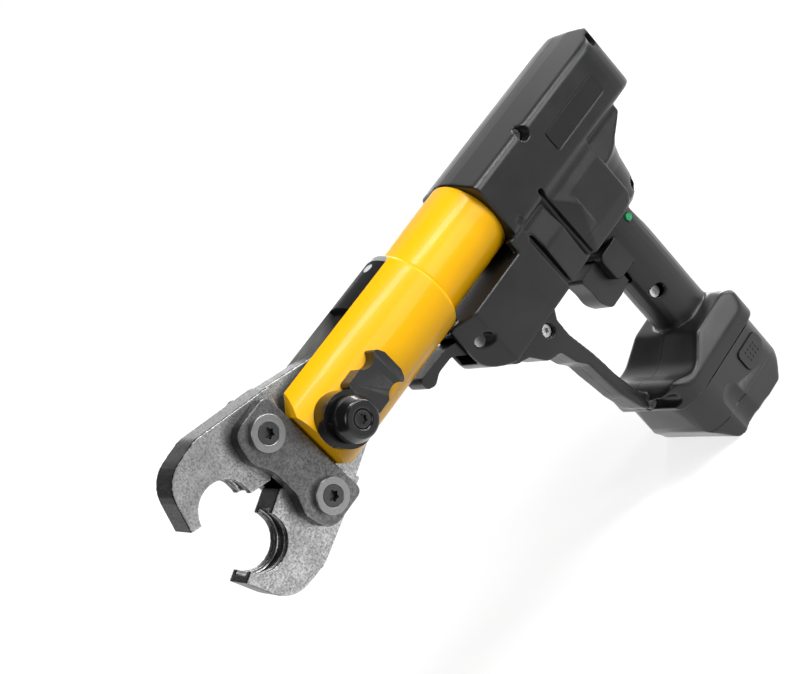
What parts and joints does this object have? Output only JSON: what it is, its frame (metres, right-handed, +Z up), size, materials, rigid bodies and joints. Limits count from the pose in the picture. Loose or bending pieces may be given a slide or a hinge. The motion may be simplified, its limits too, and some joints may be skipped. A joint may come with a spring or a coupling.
{
  "type": "press tool",
  "caption": "Cordless pistol-grip press tool with a swivelling fork head, pin-held pressing tongs closed by a roller ram, and a slide-on battery.",
  "frame": {"origin": "middle of the battery's flat base", "axes": "+Z up through the grip, -X along the barrel towards the jaws, -Y towards the side with the pin knob"},
  "size_m": [0.3772, 0.0872, 0.2605],
  "materials": {
    "shell_black": "fine matt grain",
    "barrel_yellow": "gloss paint",
    "head_yellow": "gloss paint",
    "jaw_steel": "phosphated, mottled",
    "plate_steel": "phosphated, mottled",
    "washer_steel": "turned",
    "bolt_steel": "ground",
    "knob_black": "satin",
    "pin_black": "black oxide",
    "screw_steel": "zinc",
    "bright_steel": "ground",
    "bronze": "machined",
    "pump_alloy": "machined",
    "tank_rubber": "matt",
    "motor_steel": "plated",
    "rotor_copper": "wound",
    "switch_plastic": "satin",
    "board_green": "lacquered",
    "light_green": "clear",
    "battery_black": "fine matt grain",
    "latch_black": "dotted",
    "cell_blue": "sleeved",
    "strap_nickel": "plated"
  },
  "bodies": {
    "drive_unit": {"housing_left": "shell_black", "housing_right": "shell_black", "housing_screws": "screw_steel", "hydraulic_barrel": "barrel_yellow", "gland_nut": "bronze", "swivel_ring": "bright_steel", "pump_block": "pump_alloy", "oil_reservoir": "tank_rubber", "gearbox": "motor_steel", "motor_can": "motor_steel", "switch_body": "switch_plastic", "control_board": "board_green", "terminal_block": "switch_plastic", "status_light": "light_green", "reset_pivot": "screw_steel"},
    "rotor": {"motor_rotor": "rotor_copper"},
    "eccentric": {"eccentric_shaft": "bright_steel"},
    "trigger": {"trigger": "knob_black"},
    "reset_lever": {"reset_lever": "knob_black"},
    "swivel_head": {"fork_head": "head_yellow", "slot_cover_upper": "knob_black", "slot_cover_lower": "knob_black", "cover_screws": "screw_steel", "cheek_plate_left": "plate_steel", "cheek_plate_right": "plate_steel", "jaw_bolts": "bolt_steel", "jaw_washers": "washer_steel"},
    "ram": {"piston_rod": "bright_steel", "return_spring": "bright_steel", "roller_yoke": "bolt_steel", "roller_axles": "bright_steel"},
    "upper_roller": {"upper_roller": "bright_steel"},
    "lower_roller": {"lower_roller": "bright_steel"},
    "upper_jaw": {"upper_jaw": "jaw_steel"},
    "lower_jaw": {"lower_jaw": "jaw_steel"},
    "pin": {"retaining_pin": "pin_black", "pin_knob": "knob_black", "knob_screw": "screw_steel"},
    "lock_slide": {"lock_slide": "knob_black"},
    "battery": {"battery_case": "battery_black", "battery_tray": "battery_black", "battery_cells": "cell_blue", "cell_straps": "strap_nickel", "battery_screws": "screw_steel"},
    "latch_left": {"latch_button_left": "latch_black"},
    "latch_right": {"latch_button_right": "latch_black"}
  },
  "joints": [
    {"name": "head_swivel", "type": "hinge", "parent": "drive_unit", "child": "swivel_head", "pos_m": [-0.0985, 0, 0.2115], "axis": [1, 0, 0], "continuous": true},
    {"name": "ram_slide", "type": "slide", "parent": "swivel_head", "child": "ram", "axis": [-1, 0, 0], "range_m": [0, 0.027], "stiffness_N_per_m": 150, "deforming": ["return_spring"]},
    {"name": "upper_jaw_hinge", "type": "hinge", "parent": "swivel_head", "child": "upper_jaw", "pos_m": [-0.2235, 0, 0.236], "axis": [0, -1, 0], "range_deg": [0, 19]},
    {"name": "lower_jaw_hinge", "type": "hinge", "parent": "swivel_head", "child": "lower_jaw", "pos_m": [-0.2235, 0, 0.187], "axis": [0, 1, 0], "range_deg": [0, 19]},
    {"name": "upper_roller_spin", "type": "hinge", "parent": "ram", "child": "upper_roller", "pos_m": [-0.1483, 0, 0.2208], "axis": [0, 1, 0], "continuous": true},
    {"name": "lower_roller_spin", "type": "hinge", "parent": "ram", "child": "lower_roller", "pos_m": [-0.1483, 0, 0.2022], "axis": [0, 1, 0], "continuous": true},
    {"name": "pin_pull", "type": "slide", "parent": "swivel_head", "child": "pin", "axis": [0, -1, 0], "range_m": [0, 0.035]},
    {"name": "lock_pull", "type": "slide", "parent": "swivel_head", "child": "lock_slide", "axis": [1, 0, 0], "range_m": [0, 0.007], "stiffness_N_per_m": 400},
    {"name": "rotor_spin", "type": "hinge", "parent": "drive_unit", "child": "rotor", "pos_m": [0.057, 0, 0.2115], "axis": [1, 0, 0], "continuous": true},
    {"name": "eccentric_spin", "type": "hinge", "parent": "drive_unit", "child": "eccentric", "pos_m": [0.015, 0, 0.2115], "axis": [1, 0, 0], "continuous": true},
    {"name": "trigger_pull", "type": "slide", "parent": "drive_unit", "child": "trigger", "axis": [1, 0, 0], "range_m": [0, 0.006], "stiffness_N_per_m": 500},
    {"name": "reset_press", "type": "hinge", "parent": "drive_unit", "child": "reset_lever", "pos_m": [-0.097, 0, 0.168], "axis": [0, -1, 0], "range_deg": [0, 8], "stiffness_Nm_per_rad": 0.8},
    {"name": "battery_slide", "type": "slide", "parent": "drive_unit", "child": "battery", "axis": [0, 0, -1], "range_m": [0, 0.025]},
    {"name": "latch_left_press", "type": "slide", "parent": "battery", "child": "latch_left", "axis": [0, 1, 0], "range_m": [0, 0.0025], "stiffness_N_per_m": 500},
    {"name": "latch_right_press", "type": "slide", "parent": "battery", "child": "latch_right", "axis": [0, -1, 0], "range_m": [0, 0.0025], "stiffness_N_per_m": 500}
  ],
  "couplings": [
    {"joint": "upper_jaw_hinge", "follows": "ram_slide", "rad_per_m": 12.28},
    {"joint": "lower_jaw_hinge", "follows": "ram_slide", "rad_per_m": 12.28},
    {"joint": "eccentric_spin", "follows": "rotor_spin", "ratio": 0.2}
  ]
}
